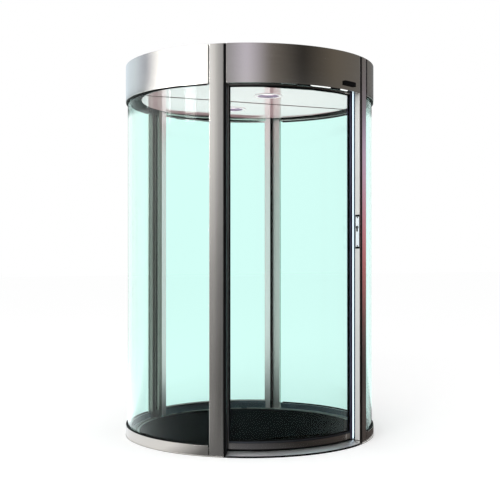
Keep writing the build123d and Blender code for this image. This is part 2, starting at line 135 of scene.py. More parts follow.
# Powder coat in pale silver on the downlights: an even satin, a little orange peel of 3 mm.
coatLook = {"grain": (3, 3, 3), "cloud": 200, "cloudShare": 0.4, "tones": ("#EAF1F5", "#F3F9FC"),
            "roughness": (0.3, 0.4), "relief": 0.03, "depth": 0.05}
silverCoat = grainFinish("powderCoatSilver", coatLook, {})[0]

# The same coat a shade greyer and warmer, on the closing jamb faces: a pale matt coat that paints in the bright
# reflection these metal faces show.
jambHighlightLook = {**coatLook, "tones": ("#D9D8D5", "#E0DFDC")}
jambHighlightCoat = grainFinish("powderCoatPaintedHighlight", jambHighlightLook, {})[0]

# Anodised aluminium: paler and duller than the steel, with a faint drawn grain.
aluminiumLook = {"grain": (3.0, 3.0, 500), "cloud": 180, "cloudShare": 0.4, "tones": ("#EAEBED", "#F5F6F8"),
                 "roughness": (0.36, 0.46), "relief": 0.03, "depth": 0.05}
aluminium = grainFinish("aluminiumAnodised", aluminiumLook, {"Metallic": 1.0})[0]

# The same anodised aluminium, darkened to grey as painted shade on the faces that lie in shade beside the
# leaves.
shadedAluminiumLook = {**aluminiumLook, "tones": ("#484C51", "#5A5E63"), "roughness": (0.4, 0.5)}
shadedAluminium = grainFinish("aluminiumPaintedShade", shadedAluminiumLook, {"Metallic": 1.0})[0]

# Slate-blue anodised aluminium on the leaves' closing stiles: a dark cool band beside the jamb.
slateLook = {**aluminiumLook, "tones": ("#8886A8", "#9694B6"), "roughness": (0.26, 0.34)}
slateAluminium = grainFinish("aluminiumSlate", slateLook, {"Metallic": 1.0})[0]

# Bronze-grey anodised aluminium on the closing posts and strike jambs: dull behind the panes.
bronzeLook = {**aluminiumLook, "tones": ("#867E78", "#948C86"), "roughness": (0.3, 0.4)}
bronzeAluminium = grainFinish("aluminiumBronze", bronzeLook, {"Metallic": 1.0})[0]

# Champagne anodised aluminium on the leaves' faces towards the cabin: pale, and neutral through the panes.
champagneLook = {**aluminiumLook, "tones": ("#FFE6E8", "#FFECEE"), "roughness": (0.3, 0.4)}
champagne = grainFinish("aluminiumChampagne", champagneLook, {"Metallic": 1.0})[0]

# A darker champagne on the faces of the trailing posts towards the cabin.
pewterLook = {**champagneLook, "tones": ("#CDBDBC", "#D8C8C7")}
pewter = grainFinish("aluminiumPewter", pewterLook, {"Metallic": 1.0})[0]

# Grey silicone along the panes' inner edges: softer than the black outside.
greySealLook = {"grain": (6, 6, 60), "cloud": 80, "cloudShare": 0.4, "tones": ("#4A5258", "#586068"),
                "roughness": (0.5, 0.68), "relief": 0.1, "depth": 0.1}
greySeal = grainFinish("siliconeGrey", greySealLook, {"Specular IOR Level": 0.2})[0]

# Dark brown in the canopy's slot and ceiling joint: painted shade that swallows the light there.
umberShadeLook = {"grain": (4, 4, 4), "cloud": 90, "cloudShare": 0.4, "tones": ("#241E1A", "#322A25"),
             "roughness": (0.55, 0.7), "relief": 0.05, "depth": 0.08}
umberShade = grainFinish("umberPaintedShade", umberShadeLook, {"Specular IOR Level": 0.2})[0]

# Silver lacquer over a steel plate: paler than the jamb behind it.
plateLook = {"grain": (1.2, 1.2, 1.2), "cloud": 60, "cloudShare": 0.3, "tones": ("#EDF6FA", "#F5FCFF"),
             "roughness": (0.3, 0.4), "relief": 0.05, "depth": 0.03}
silverPlate = grainFinish("lacquerSilver", plateLook, {})[0]

# Hot-dip galvanised sheet: grey spangle patches some 25 mm across, dull.
zincLook = {"grain": (22, 22, 22), "cloud": 120, "cloudShare": 0.3, "tones": ("#6E7274", "#8E9294"),
            "roughness": (0.45, 0.6), "relief": 0.04, "depth": 0.1}
zincSheet = grainFinish("steelGalvanised", zincLook, {"Metallic": 1.0})[0]

# Turned stainless ring: lines that run round at one radius, scuffed by feet.
floorLook = {"grain": (40, 40, 3.0), "cloud": 90, "cloudShare": 0.5, "tones": ("#A9A7A4", "#C4C2BE"),
             "roughness": (0.3, 0.46), "relief": 0.06, "depth": 0.05}
floorSteel = grainFinish("steelFloorRing", floorLook, {"Metallic": 1.0})[0]

# Extruded EPDM rubber: near black, with a fine bloom along the extrusion.
rubberLook = {**greySealLook, "tones": ("#060607", "#101011")}
rubber = grainFinish("rubberExtruded", rubberLook, {"Specular IOR Level": 0.06})[0]

# Moulded ABS: black with a spark-eroded grain of about 1 mm.
plasticLook = {"grain": (1.4, 1.4, 1.4), "cloud": 40, "cloudShare": 0.3, "tones": ("#070708", "#0E0E10"),
               "roughness": (0.3, 0.42), "relief": 0.08, "depth": 0.08}
plastic = grainFinish("plasticMoulded", plasticLook, {"Specular IOR Level": 0.06})[0]

# Metal-coated ceiling board: warm white and half a mirror, with a faint orange peel of 8 mm.
ceilingLook = {"grain": (8, 8, 8), "cloud": 300, "cloudShare": 0.5, "tones": ("#FEE6EB", "#FFEAEF"),
               "roughness": (0.05, 0.08), "relief": 0.004, "depth": 0.02}
ceilingGloss = grainFinish("lacquerMetalWhite", ceilingLook, {"Metallic": 0.5})[0]

# Lilac grey in the downlights' bores, as painted shade: a soft darker ring on the ceiling.
boreShadeLook = {"grain": (5, 5, 5), "cloud": 60, "cloudShare": 0.5, "tones": ("#857B92", "#93899E"),
              "roughness": (0.18, 0.28), "relief": 0.03, "depth": 0.05}
boreShade = grainFinish("lilacPaintedShade", boreShadeLook, {})[0]

# Opal acrylic: milky, evenly lit through.
opalLook = {"grain": (10, 10, 10), "cloud": 40, "cloudShare": 0.5, "tones": ("#F2F3F3", "#FAFBFB"),
            "roughness": (0.22, 0.32), "relief": 0.02, "depth": 0.05}
opal = grainFinish("acrylicOpal", opalLook, {
    "Emission Color": hexColor("#FFFFFF"), "Emission Strength": 0.6})[0]
lensOpal = grainFinish("acrylicOpalWarm", opalLook, {
    "Emission Color": hexColor("#FFE4E8"), "Emission Strength": 1.1})[0]

# Clear silicone nose on the leaf's closing edge: cool and pale, and made to glow as painted light, as if lit
# through.
noseGlowLook = {"grain": (5, 5, 40), "cloud": 90, "cloudShare": 0.4, "tones": ("#DCEAF0", "#E6F3F8"),
                "roughness": (0.35, 0.45), "relief": 0.02, "depth": 0.05}
noseGlow = grainFinish("siliconeClearPaintedGlow", noseGlowLook, {
    "Emission Color": hexColor("#D8ECF5"), "Emission Strength": 2.1})[0]

# Needle-felt entrance mat: charcoal pile with flecks of 4 mm.
feltLook = {"grain": (4, 4, 4), "cloud": 130, "cloudShare": 0.35, "tones": ("#111415", "#1F2325"),
            "roughness": (0.85, 1.0), "relief": 0.5, "depth": 1.0}
felt = grainFinish("feltNeedled", feltLook, {"Specular IOR Level": 0.0})[0]

# Bent laminated glass: clear, with the blue-green cast of its thickness.
glassLook = {"tint": "#E9FFFB", "ior": 1.5, "sheen": "#595959", "smear": (0.0, 0.003), "smearSize": 160}


def glassFinish(name, look):
    finish, tree, shader = newFinish(name, {
        "Base Color": hexColor(look["tint"]), "Transmission Weight": 1.0, "IOR": look["ior"],
        "Specular Tint": hexColor(look["sheen"])})
    place = addNode(tree, "ShaderNodeTexCoord")
    smear = addNode(tree, "ShaderNodeTexNoise", {
        "Vector": (place, "Object"), "Scale": 1 / (look["smearSize"] * mm), "Detail": 3.0})
    wiped = addNode(tree, "ShaderNodeMapRange", {
        "Value": (smear, "Fac"), "From Min": 0.45, "From Max": 0.75,
        "To Min": look["smear"][0], "To Max": look["smear"][1]})
    tree.links.new(wiped.outputs["Result"], shader.inputs["Roughness"])
    return finish


clearGlass = glassFinish("glassBentLaminated", glassLook)
print("finishes:", len(bpy.data.materials))


def addPiece(name, mesh):
    piece = bpy.data.objects.new(name, mesh)
    bpy.context.scene.collection.objects.link(piece)
    return piece


def settle(piece):  # modifiers into a plain mesh
    bpy.context.view_layer.update()
    ready = piece.evaluated_get(bpy.context.evaluated_depsgraph_get())
    mesh = bpy.data.meshes.new_from_object(ready)
    piece.modifiers.clear()
    piece.data = mesh
    mesh.name = piece.name


# How copies are joined and eased: lengths in mm, angles in degrees.
weld = {"reach": 0.02, "flat": 0.4, "sharp": 28}
# Rounding in mm on the edges of the scene's own pieces.
eased = {"pane": 0.8, "mat": 0.8, "plateGasket": 0.2, "lens": 0.5, "strip": 0.6, "seal": 0.4, "joint": 0.6,
         "bead": 0.4, "sill": 0.5}


def easeEdges(piece, width, segments=2):  # a small rounded edge that catches the light
    piece.data.polygons.foreach_set("use_smooth", [True] * len(piece.data.polygons))
    ease = piece.modifiers.new("ease", "BEVEL")
    ease.width, ease.segments = width * mm, segments
    ease.limit_method, ease.angle_limit = "ANGLE", radians(weld["sharp"])
    even = piece.modifiers.new("even", "WEIGHTED_NORMAL")  # broad faces stay flat up to their edges
    even.mode, even.weight = "FACE_AREA", 100
    settle(piece)


def place(piece, body, slot, *replaced):
    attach(piece, body)
    if replaced:
        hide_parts(*replaced)


# Each CAD node is shown by a merged copy with eased edges: slot, finish, edge in mm, nodes.
bodies = {node: body for body, members in frame["record"]["behaviour"]["bodies"].items() for node in members}
dressed = (
    ("brushed_steel", steelRound, 0.9, (
        "front_fascia", "rear_fascia", "left_fascia", "right_fascia",
        "left_base_rail", "right_base_rail")),
    ("brushed_steel", aluminium, 0.9, ("front_threshold", "rear_threshold")),
    ("brushed_steel", steelUpright, 1.2, (
        "front_left_post", "front_right_post", "rear_left_post", "rear_right_post")),
    ("door_metal", steelUpright, 0.9, ("front_door_trail_stile", "rear_door_trail_stile")),
    ("door_metal", slateAluminium, 0.9, ("front_door_lead_stile", "rear_door_lead_stile")),
    ("door_metal", steelRound, 0.9, (
        "front_door_bottom_rail", "front_door_top_rail", "rear_door_bottom_rail", "rear_door_top_rail")),
    # The strike jambs take this painted shade all over.
    ("jamb_metal", shadedAluminium, 0.8, ("front_strike_jamb", "rear_strike_jamb")),
    ("satin_plate", silverPlate, 0.5, ("front_lock_plate", "rear_lock_plate")),
    # The track ring and skirt in the canopy's slot take the dark brown painted shade.
    ("galvanised_steel", umberShade, 0.6, ("track_ring", "ceiling_skirt")),
    ("galvanised_steel", zincSheet, 0.6, ("roof_plate", "front_door_hangers", "rear_door_hangers")),
    ("floor_steel", floorSteel, 0.8, ("floor_pan",)),
    ("black_rubber", rubber, 0.6, (
        "fixed_glass_gaskets", "jamb_seals", "front_door_gaskets", "rear_door_gaskets")),
    ("black_plastic", plastic, 1.0, ("front_sensors", "rear_sensors")),
    ("white_ceiling", ceilingGloss, 0.8, ("front_ceiling_panel", "rear_ceiling_panel")),
    ("white_trim", silverCoat, 0.6, ("front_downlight", "rear_downlight")),
)


def wayRound(face):  # where a face lies, in degrees from the nearer doorway's axis
    return (degrees(atan2(face.center.x, -face.center.y)) + 90) % 180 - 90


def sideLook(face):  # how squarely a face looks round the drum
    turned = atan2(face.center.x, -face.center.y)
    return face.normal.dot(Vector((cos(turned), sin(turned), 0)))


def outLook(face):  # how squarely a face looks away from the drum's axis
    return face.normal.dot(Vector((face.center.x, face.center.y, 0)).normalized())


lightAway = 291  # mm from the drum's axis to each downlight


def boreLook(face):  # how squarely a face looks into its own downlight
    middle = Vector((0, lightAway * mm if face.center.y > 0 else -lightAway * mm, 0))
    return -face.normal.dot(Vector((face.center.x - middle.x, face.center.y - middle.y, 0)).normalized())


# How squarely a face has to look one way, and where finishes change: in degrees from the doorway's axis,
# and as radii.
fully, mostly, partly, barely = 0.9, 0.7, 0.5, 0.2
noseStart, gasketStart, railEnd, plateEdge = 33.7, -34, 27.4, 32.75
paneInside, railInside, ledgeInside = 776.5 * mm, 760 * mm, 770 * mm


def fromAxis(face):
    return face.center.xy.length


def looksIn(face, least=mostly):
    return outLook(face) < -least


def looksInOrAside(face):
    return looksIn(face) or sideLook(face) > fully


# Faces of a node that have a finish of their own: the first test that holds gives it.
trims = {"fixed_glass_gaskets": (
    (greySeal, lambda face: fromAxis(face) < paneInside and looksIn(face, partly)),)}
for side in ("left", "right"):
    trims[f"{side}_base_rail"] = (
        (greySeal, lambda face: looksIn(face) and fromAxis(face) > railInside),
        (aluminium, lambda face: face.normal.z > partly and fromAxis(face) < ledgeInside))
# The left fascia's inward faces take the slot's painted shade.
trims["left_fascia"] = ((umberShade, lambda face: looksIn(face, partly)),)
for end, closing, trailing in (("front", "front_right", "front_left"), ("rear", "rear_left", "rear_right")):
    trims[f"{closing}_post"] = (
        # The closing jamb faces take the pale painted reflection.
        (jambHighlightCoat, lambda face: sideLook(face) < -fully), (bronzeAluminium, looksInOrAside))
    # Beside the leaves, the trailing posts' side faces take the painted shade.
    trims[f"{trailing}_post"] = (
        (shadedAluminium, lambda face: sideLook(face) > fully), (pewter, looksIn))
    trims[f"{end}_strike_jamb"] = ((bronzeAluminium, looksInOrAside),)
    trims[f"{end}_door_gaskets"] = (
        (champagne, lambda face: looksIn(face, partly) and wayRound(face) > gasketStart),)
    trims[f"{end}_door_lead_stile"] = (
        # The nose past noseStart glows with painted light.
        (champagne, looksIn), (noseGlow, lambda face: wayRound(face) > noseStart))
    trims[f"{end}_door_trail_stile"] = ((champagne, looksIn),)
    trims[f"{end}_door_bottom_rail"] = (
        # The bottom rail's upward faces take painted shade in place of their highlight.
        (shadedAluminium, lambda face: face.normal.z > barely),
        (greySeal, looksIn),
        (bronzeAluminium, lambda face: outLook(face) > mostly and wayRound(face) > railEnd))
    trims[f"{end}_lock_plate"] = ((plastic, lambda face: wayRound(face) < plateEdge),)
    # Faces that look into a downlight's bore take the painted shade.
    trims[f"{end}_downlight"] = ((boreShade, lambda face: boreLook(face) > partly),)
cuts = {"front_door_lead_stile": noseStart, "rear_door_lead_stile": 180 + noseStart}


def pieceName(node):
    first, *rest = node.split("_")
    return first + "".join(word.title() for word in rest)


def dress(node, slot, finish, edge):
    work = bmesh.new()
    work.from_mesh(frame["nodes"][node].data)
    bmesh.ops.remove_doubles(work, verts=work.verts, dist=weld["reach"] * mm)
    bmesh.ops.dissolve_limit(work, verts=work.verts, edges=work.edges, angle_limit=radians(weld["flat"]))
    if node in cuts:
        across = Vector((cos(radians(cuts[node])), sin(radians(cuts[node])), 0))
        everything = [*work.verts, *work.edges, *work.faces]
        bmesh.ops.bisect_plane(work, geom=everything, plane_co=(0, 0, 0), plane_no=across)
    mesh = bpy.data.meshes.new(pieceName(node))
    work.to_mesh(mesh)
    work.free()
    mesh.materials.append(finish)
    piece = addPiece(pieceName(node), mesh)
    easeEdges(piece, edge)
    if node in trims:
        for trimFinish, test in trims[node]:
            piece.data.materials.append(trimFinish)
        for face in piece.data.polygons:
            held = (count for count, (trimFinish, test) in enumerate(trims[node], 1) if test(face))
            face.material_index = next(held, 0)
    place(piece, bodies[node], slot, node)


for slot, finish, edge, members in dressed:
    for node in members:
        dress(node, slot, finish, edge)
print("dressed nodes:", sum(len(row[3]) for row in dressed))


def newTree(name, sizes, takesMesh=False):  # geometry tree with named number inputs
    tree = bpy.data.node_groups.new(name, "GeometryNodeTree")
    if takesMesh:
        tree.interface.new_socket("Mesh", in_out="INPUT", socket_type="NodeSocketGeometry")
    for size in sizes:
        tree.interface.new_socket(size, in_out="INPUT", socket_type="NodeSocketFloat")
    tree.interface.new_socket("Finish", in_out="INPUT", socket_type="NodeSocketMaterial")
    tree.interface.new_socket("Result", in_out="OUTPUT", socket_type="NodeSocketGeometry")
    return tree, addNode(tree, "NodeGroupInput")


def endTree(tree, given, last):  # every tree ends in realized instances and a finish
    solid = addNode(tree, "GeometryNodeRealizeInstances", {"Geometry": last})
    coat = addNode(tree, "GeometryNodeSetMaterial", {
        "Geometry": (solid, "Geometry"), "Material": (given, "Finish")})
    addNode(tree, "NodeGroupOutput", {"Result": (coat, "Geometry")})


def grow(name, tree, sizes, finish, mesh=None):  # run a tree and keep its mesh
    piece = addPiece(name, mesh or bpy.data.meshes.new(name))
    step = piece.modifiers.new("grow", "NODES")
    step.node_group = tree
    for socket in tree.interface.items_tree:
        if socket.in_out == "INPUT" and socket.name in sizes:
            step[socket.identifier] = sizes[socket.name]
        elif socket.in_out == "INPUT" and socket.name == "Finish":
            step[socket.identifier] = finish
    settle(piece)
    return piece


# A bent bar or sheet: a flat section carried round the drum's axis.
bentTree, bentGiven = newTree("bentSheet", ("Radius", "Thickness", "Foot", "Head", "Start", "Sweep", "Steps"))
bentRise = addNode(bentTree, "ShaderNodeMath", {
    0: (bentGiven, "Head"), 1: (bentGiven, "Foot")}, operation="SUBTRACT")
bentSum = addNode(bentTree, "ShaderNodeMath", {
    0: (bentGiven, "Head"), 1: (bentGiven, "Foot")}, operation="ADD")
bentMiddle = addNode(bentTree, "ShaderNodeMath", {0: (bentSum, 0), 1: 0.5}, operation="MULTIPLY")
bentArc = addNode(bentTree, "GeometryNodeCurveArc", {
    "Resolution": (bentGiven, "Steps"), "Radius": (bentGiven, "Radius"),
    "Start Angle": (bentGiven, "Start"), "Sweep Angle": (bentGiven, "Sweep")}, mode="RADIUS")
bentUpright = addNode(bentTree, "GeometryNodeSetCurveNormal", {"Curve": (bentArc, "Curve")}, mode="Z_UP")
bentSection = addNode(bentTree, "GeometryNodeCurvePrimitiveQuadrilateral", {
    "Width": (bentGiven, "Thickness"), "Height": (bentRise, 0)}, mode="RECTANGLE")
bentBody = addNode(bentTree, "GeometryNodeCurveToMesh", {
    "Curve": (bentUpright, "Curve"), "Profile Curve": (bentSection, "Curve"), "Fill Caps": True})
bentLift = addNode(bentTree, "ShaderNodeCombineXYZ", {"Z": (bentMiddle, 0)})
bentPlaced = addNode(bentTree, "GeometryNodeTransform", {
    "Geometry": (bentBody, "Mesh"), "Translation": (bentLift, "Vector")})
endTree(bentTree, bentGiven, (bentPlaced, "Geometry"))


def bend(name, look, finish, edge):  # angles count from the front doorway, towards the right
    inner, outer = look["radius"]
    start, end = look["angle"]
    piece = grow(name, bentTree, {
        "Radius": (inner + outer) / 2 * mm, "Thickness": (outer - inner) * mm,
        "Foot": look["height"][0] * mm, "Head": look["height"][1] * mm,
        "Start": radians(start - 90), "Sweep": radians(end - start), "Steps": look["steps"]}, finish)
    work = bmesh.new()
    work.from_mesh(piece.data)
    bmesh.ops.remove_doubles(work, verts=work.verts, dist=weld["reach"] * mm)
    bmesh.ops.recalc_face_normals(work, faces=work.faces)
    work.to_mesh(piece.data)
    work.free()
    easeEdges(piece, edge)
    return piece


# Four bent panes: the two fixed sides and the two sliding leaves.
paneLooks = {
    "left_glass": {"radius": (776, 788), "angle": (-140.83, -39.17), "height": (49, 2138), "steps": 140},
    "right_glass": {"radius": (776, 788), "angle": (39.17, 140.83), "height": (49, 2138), "steps": 140},
    "front_door_glass": {"radius": (727, 737), "angle": (-32.88, 31.85), "height": (77, 2123), "steps": 90},
    "rear_door_glass": {"radius": (727, 737), "angle": (147.12, 211.85), "height": (77, 2123), "steps": 90},
}
for node, look in paneLooks.items():
    place(bend(pieceName(node), look, clearGlass, eased["pane"]), bodies[node], "clear_glass", node)
print("bent panes:", len(paneLooks))

# Ribbed mat: a felt bed with raised ribs across the way through.
matLook = {"radius": 712.5, "bed": (16, 22.5), "top": 26, "pitch": 14, "ribWidth": 8.5, "edge": 9, "sunk": 1}
ribTree, ribGiven = newTree("matRibs", ("Radius", "Pitch", "Width", "Foot", "Top", "Count"))
ribFirst = addNode(ribTree, "ShaderNodeMath", {
    0: (ribGiven, "Count"), 1: (ribGiven, "Pitch")}, operation="MULTIPLY")
ribStart = addNode(ribTree, "ShaderNodeMath", {0: (ribFirst, 0), 1: -0.5}, operation="MULTIPLY")
ribRise = addNode(ribTree, "ShaderNodeMath", {
    0: (ribGiven, "Top"), 1: (ribGiven, "Foot")}, operation="SUBTRACT")
ribHalf = addNode(ribTree, "ShaderNodeMath", {0: (ribRise, 0), 1: 0.5}, operation="MULTIPLY")
ribLevel = addNode(ribTree, "ShaderNodeMath", {0: (ribGiven, "Foot"), 1: (ribHalf, 0)}, operation="ADD")
ribFrom = addNode(ribTree, "ShaderNodeCombineXYZ", {"Y": (ribStart, 0), "Z": (ribLevel, 0)})
ribStep = addNode(ribTree, "ShaderNodeCombineXYZ", {"Y": (ribGiven, "Pitch")})
ribLine = addNode(ribTree, "GeometryNodeMeshLine", {
    "Count": (ribGiven, "Count"), "Start Location": (ribFrom, "Vector"), "Offset": (ribStep, "Vector")})
ribSpot = addNode(ribTree, "GeometryNodeInputPosition")
ribAway = addNode(ribTree, "ShaderNodeSeparateXYZ", {"Vector": (ribSpot, "Position")})
ribAwaySquare = addNode(ribTree, "ShaderNodeMath", {0: (ribAway, "Y"), 1: 2.0}, operation="POWER")
ribRadiusSquare = addNode(ribTree, "ShaderNodeMath", {
    0: (ribGiven, "Radius"), 1: 2.0}, operation="POWER")
ribLeft = addNode(ribTree, "ShaderNodeMath", {
    0: (ribRadiusSquare, 0), 1: (ribAwaySquare, 0)}, operation="SUBTRACT")
ribReach = addNode(ribTree, "ShaderNodeMath", {0: (ribLeft, 0)}, operation="SQRT")
ribChord = addNode(ribTree, "ShaderNodeMath", {0: (ribReach, 0), 1: 2.0}, operation="MULTIPLY")
ribScale = addNode(ribTree, "ShaderNodeCombineXYZ", {"X": (ribChord, 0), "Y": 1.0, "Z": 1.0})
ribSize = addNode(ribTree, "ShaderNodeCombineXYZ", {"X": 1.0, "Y": (ribGiven, "Width"), "Z": (ribRise, 0)})
ribBar = addNode(ribTree, "GeometryNodeMeshCube", {"Size": (ribSize, "Vector")})
ribAll = addNode(ribTree, "GeometryNodeInstanceOnPoints", {
    "Points": (ribLine, "Mesh"), "Instance": (ribBar, "Mesh"), "Scale": (ribScale, "Vector")})
endTree(ribTree, ribGiven, (ribAll, "Instances"))


def turn(name, outline, finish, edge, middle=(0, 0), steps=128):  # outline of (radius, height) pairs in mm
    work = bmesh.new()
    rings = []
    for radius, height in outline:
        if radius == 0:
            rings.append([work.verts.new((middle[0] * mm, middle[1] * mm, height * mm))] * steps)
        else:
            rings.append([work.verts.new((middle[0] * mm + radius * mm * cos(tau * i / steps),
                                          middle[1] * mm + radius * mm * sin(tau * i / steps),
                                          height * mm)) for i in range(steps)])
    pairs = list(zip(rings, rings[1:] + rings[:1]))
    for low, high in pairs:
        for i in range(steps):
            corners = dict.fromkeys((low[i], low[i - 1], high[i - 1], high[i]))
            if len(corners) > 2:
                work.faces.new(corners)
    bmesh.ops.recalc_face_normals(work, faces=work.faces)
    mesh = bpy.data.meshes.new(name)
    work.to_mesh(mesh)
    work.free()
    mesh.materials.append(finish)
    piece = addPiece(name, mesh)
    easeEdges(piece, edge)
    return piece


matFoot, matTop = matLook["bed"]
matEdge = matLook["radius"]
matBed = turn("matBed", ((0, matFoot), (matEdge, matFoot), (matEdge, matLook["top"]),
                         (matEdge - matLook["edge"], matLook["top"]), (matEdge - matLook["edge"], matTop),
                         (0, matTop)), felt, eased["mat"])
place(matBed, "portal", "floor_mat", "floor_mat")
matRibs = grow("matRibs", ribTree, {
    "Radius": (matEdge - matLook["edge"]) * mm, "Pitch": matLook["pitch"] * mm,
    "Width": matLook["ribWidth"] * mm, "Foot": (matTop - matLook["sunk"]) * mm, "Top": matLook["top"] * mm,
    "Count": int(2 * (matEdge - matLook["edge"]) / matLook["pitch"]) - 1}, felt)
place(matRibs, "portal", "floor_mat")
print("mat ribs:", len(matRibs.data.polygons) // 6)

# Screws with a hexagon socket, set wherever a spot with an axis is given.
screwTree, screwGiven = newTree("socketScrews", ("Head radius", "Head height", "Socket radius"), True)
screwHead = addNode(screwTree, "GeometryNodeMeshCylinder", {
    "Vertices": 20, "Radius": (screwGiven, "Head radius"), "Depth": (screwGiven, "Head height")})
screwSocket = addNode(screwTree, "GeometryNodeMeshCylinder", {
    "Vertices": 6, "Radius": (screwGiven, "Socket radius"), "Depth": (screwGiven, "Head height")})
screwUp = addNode(screwTree, "ShaderNodeCombineXYZ", {"Z": (screwGiven, "Head height")})
screwHalf = addNode(screwTree, "ShaderNodeVectorMath", {
    0: (screwUp, "Vector"), "Scale": 0.5}, operation="SCALE")
screwRaised = addNode(screwTree, "GeometryNodeTransform", {
    "Geometry": (screwSocket, "Mesh"), "Translation": (screwHalf, "Vector")})
screwCut = addNode(screwTree, "GeometryNodeMeshBoolean", {
    "Mesh 1": (screwHead, "Mesh"), "Mesh 2": (screwRaised, "Geometry")}, operation="DIFFERENCE")
screwAxis = addNode(screwTree, "GeometryNodeInputNamedAttribute", {"Name": "axis"}, data_type="FLOAT_VECTOR")
screwTurn = addNode(screwTree, "FunctionNodeAlignRotationToVector", {
    "Vector": (screwAxis, "Attribute")}, axis="Z")
screwAll = addNode(screwTree, "GeometryNodeInstanceOnPoints", {
    "Points": (screwGiven, "Mesh"), "Instance": (screwCut, "Mesh"), "Rotation": (screwTurn, "Rotation")})
endTree(screwTree, screwGiven, (screwAll, "Instances"))


def setScrews(name, spots, look, finish):  # spots are (place, axis) pairs in metres
    mesh = bpy.data.meshes.new(name)
    mesh.from_pydata([spot for spot, axis in spots], [], [])
    axes = mesh.attributes.new("axis", "FLOAT_VECTOR", "POINT")
    for value, (spot, axis) in zip(axes.data, spots):
        value.vector = axis
    return grow(name, screwTree, {
        "Head radius": look["head"] / 2 * mm, "Head height": look["height"] * mm,
        "Socket radius": look["socket"] / 2 * mm}, finish, mesh)


def around(angle, radius, height):  # a point on the drum, angle from the front doorway
    turned = radians(angle)
    return Vector((radius * mm * sin(turned), -radius * mm * cos(turned), height * mm))


# Roof plate screws in a ring, clear of the four posts.
roofScrewLook = {"head": 13, "height": 4, "socket": 6, "ring": 735, "count": 24, "sunk": 2.4}
roofHeight = cadHigh.z / mm - roofScrewLook["sunk"]
roofSpots = [(around(360 * (i + 0.5) / roofScrewLook["count"], roofScrewLook["ring"], roofHeight),
              Vector((0, 0, 1))) for i in range(roofScrewLook["count"])]
place(setScrews("roofScrews", roofSpots, roofScrewLook, zincSheet), "portal", "galvanised_steel")

# Two screws hold each lock plate, on the jamb face of the closing post.
plateScrewLook = {"head": 8, "height": 2, "socket": 4, "reach": 86, "middle": 1288, "radius": 784,
                  "turn": 32.87}
for end, turnBy in (("front", 0), ("rear", 180)):
    seat = around(turnBy + plateScrewLook["turn"], plateScrewLook["radius"], plateScrewLook["middle"])
    facing = around(turnBy + plateScrewLook["turn"] - 90, 1 / mm, 0).normalized()
    spots = [(seat + Vector((0, 0, side * plateScrewLook["reach"] * mm)), facing) for side in (-1, 1)]
    place(setScrews(f"{end}PlateScrews", spots, plateScrewLook, plastic), "portal", "satin_plate")

# Black gasket that frames each lock plate: two upright bars and two short ones.
frameLook = {"radius": (769.8, 771.6, 796.2, 798.2), "height": (1185.5, 1197.5, 1378.5, 1390.5),
             "from": 32.86, "to": 32.99, "steps": 2}
inner, plateIn, plateOut, outer = frameLook["radius"]
foot, plateFoot, plateHead, head = frameLook["height"]
frameBars = (((inner, plateIn), (foot, head)), ((plateOut, outer), (foot, head)),
             ((plateIn, plateOut), (foot, plateFoot)), ((plateIn, plateOut), (plateHead, head)))
for end, turnBy in (("front", 0), ("rear", 180)):
    for count, (radius, height) in enumerate(frameBars, 1):
        gasket = bend(f"{end}PlateGasket{count}", {
            "radius": radius, "height": height, "angle": (turnBy + frameLook["from"], turnBy + frameLook["to"]),
            "steps": frameLook["steps"]}, rubber, eased["plateGasket"])
        place(gasket, "portal", "black_rubber")

# Opal lens up inside each downlight.
lensLook = {"radius": 65.5, "foot": 2153, "crown": 2150, "top": 2158, "steps": 48,
            "halfway": (0.5, 0.6), "shoulder": (0.8, 1)}  # share of the radius, mm above crown or below foot
for end, side in (("front", -1), ("rear", 1)):
    rim = lensLook["radius"]
    halfShare, halfRise = lensLook["halfway"]
    shoulderShare, shoulderDrop = lensLook["shoulder"]
    lens = turn(f"{end}LightLens", (
        (0, lensLook["crown"]), (rim * halfShare, lensLook["crown"] + halfRise),
        (rim * shoulderShare, lensLook["foot"] - shoulderDrop), (rim, lensLook["foot"]),
        (rim, lensLook["top"]), (0, lensLook["top"])), lensOpal, eased["lens"],
        (0, side * lightAway), lensLook["steps"])
    place(lens, "portal", "white_trim")

# Under the soffit of each doorway: lit strips, a thin metal strip, and black covers between them.
stripLook = {"radius": (782, 796), "height": (2121, 2124.5), "angles": ((3.0, 13.2), (19.0, 23.8)),
             "steps": 14}
thinLook = {"radius": (792, 796), "height": (2122.5, 2124.5), "angles": ((-10.2, -3.2),), "steps": 10}
coverLook = {"radius": (776, 797), "height": (2117.5, 2124.5), "angles": ((-2.9, 2.8), (13.4, 18.8)),
             "steps": 10}
# Visor over each motion sensor, and a cover strip beside each closing post.
visorLook = {"radius": (799.5, 812), "height": (2150.5, 2176.5), "angles": ((20.7, 28.2),), "steps": 10}
seamLook = {"radius": (799.4, 800.7), "height": (2125, 2349), "angles": ((40.15, 41.2),), "steps": 3}
for end, turnBy in (("front", 0), ("rear", 180)):
    for kind, look, finish, slot in (("LightStrip", stripLook, opal, "white_trim"),
                                     ("ThinStrip", thinLook, aluminium, "white_trim"),
                                     ("SoffitCover", coverLook, plastic, "black_plastic"),
                                     ("SensorVisor", visorLook, plastic, "black_plastic"),
                                     ("PostSeam", seamLook, rubber, "black_rubber")):
        for count, (start, stop) in enumerate(look["angles"], 1):
            angle = (turnBy + start, turnBy + stop)
            bar = bend(f"{end}{kind}{count}", {**look, "angle": angle}, finish, eased["strip"])
            place(bar, "portal", slot)

